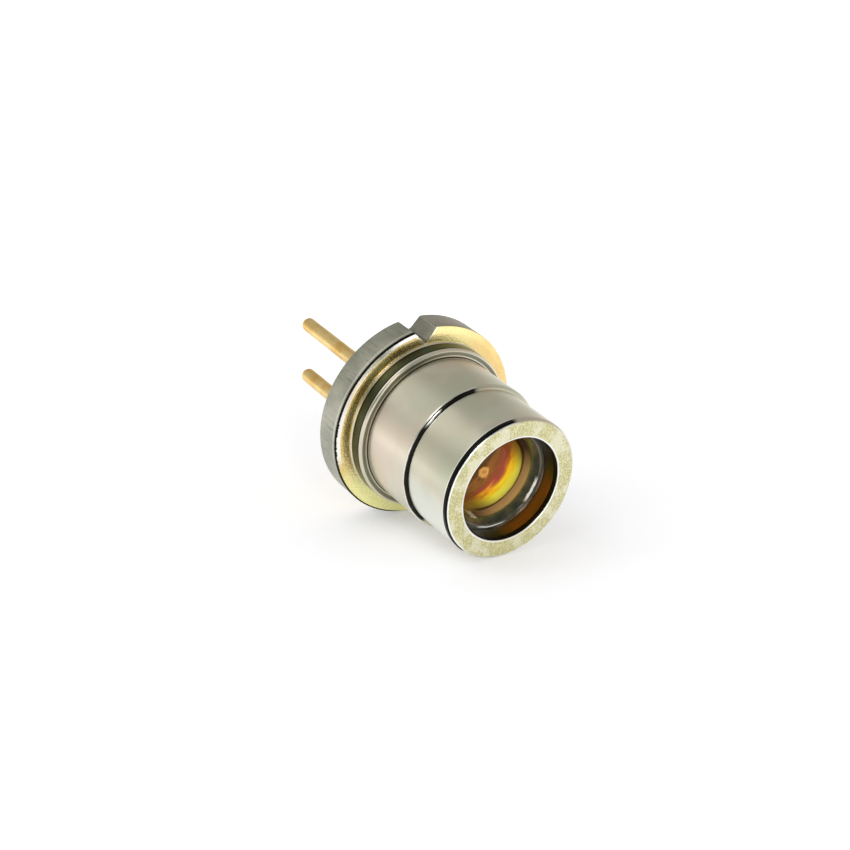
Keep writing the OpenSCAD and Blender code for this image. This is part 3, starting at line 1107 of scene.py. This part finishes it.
def lamp(name, place, aim, size, watts):
    """A square soft lamp."""
    data = bpy.data.lights.new(name, "AREA")
    data.shape = "RECTANGLE"
    data.size = size * MM
    data.size_y = size * MM
    data.energy = watts
    hang(name, data, place, aim)


def snoot(name, place, aim, cone, radius, watts):
    """A lamp whose cone is so narrow that it only reaches into the bore."""
    data = bpy.data.lights.new(name, "SPOT")
    data.spot_size = cone
    data.spot_blend = 0.5
    data.shadow_soft_size = radius * MM
    data.energy = watts
    hang(name, data, place, aim)


# ---------------------------------------------------------------- the scene

gold = inner_gold()
pins = lead_metal()
feed = sealing_glass("feed_glass", (0.015, 0.02, 0.022), (0.05, 0.06, 0.06))
dice = crystal()
tile = box_piece("submount_tile", (-0.4, 0.4), (-0.47, -0.12), (0.35, 1.15), 0.015)
laser = box_piece("laser_die", (-0.15, 0.15), (-0.12, 0), (0.85, 1.15), 0.008)
monitor = box_piece("photodiode_die", (-0.25, 0.25), (-0.08, 0.42), (0, 0.2), 0.01)

keep(base_piece(), "base", flange_metal())
keep(lead_piece("laser_lead_pin", LEAD_TURN, 0.75, 4.5), "lead_laser", pins)
keep(lead_piece("case_lead_pin", CASE_TURN, -FLANGE_T, 4.2, 0.07), "lead_case", pins)
keep(lead_piece("monitor_lead_pin", MONITOR_TURN, 0.75, 4.0), "lead_monitor", pins)
keep(feed_glass_piece("laser_lead_glass", LEAD_TURN), "glass_laser", feed)
keep(feed_glass_piece("monitor_lead_glass", MONITOR_TURN), "glass_monitor", feed)
keep(heat_sink_piece(), "heat_sink", gold)
keep(tile, "submount", ceramic())
keep(laser, "laser_chip", dice)
keep(monitor, "photodiode", dice)
keep(cap_piece(), "cap", cap_metal())
keep(lens_piece(), "lens", lens_glass())
keep(seal_piece(), "lens_seal", seal_glass())
for wire in ("wire_laser", "wire_ground", "wire_monitor"):
    nodes[wire].data.materials.clear()
    nodes[wire].data.materials.append(gold)

right, up, back = make_camera()
floor_up = make_floor(right, up)
make_world()
front = (back - floor_up * back.dot(floor_up)).normalized()
across = floor_up.cross(front).normalized()
make_tent(floor_up, front)


def studio(azimuth, elevation, distance):
    """A point round the part: azimuth to the right of the camera, elevation above the table."""
    flat = front * cos(radians(azimuth)) + across * sin(radians(azimuth))
    return (flat * cos(radians(elevation)) + floor_up * sin(radians(elevation))) * distance


middle = Vector((0, 0, 1.5))
lamp("key", middle + studio(-60, 55, 140), middle, 110, 0.05)
lamp("front", middle + studio(12, 24, 150), middle, 30, 0.035)
lens_aim = Vector((-0.32, -0.3, 3.1))
tilt = radians(28)
turn = radians(43)
slant = Vector((sin(tilt) * cos(turn), sin(tilt) * sin(turn), cos(tilt)))
snoot("lens_glow", lens_aim + slant * 60, lens_aim, radians(2.4), 1.5, 0.09)

scene.view_settings.view_transform = "Standard"
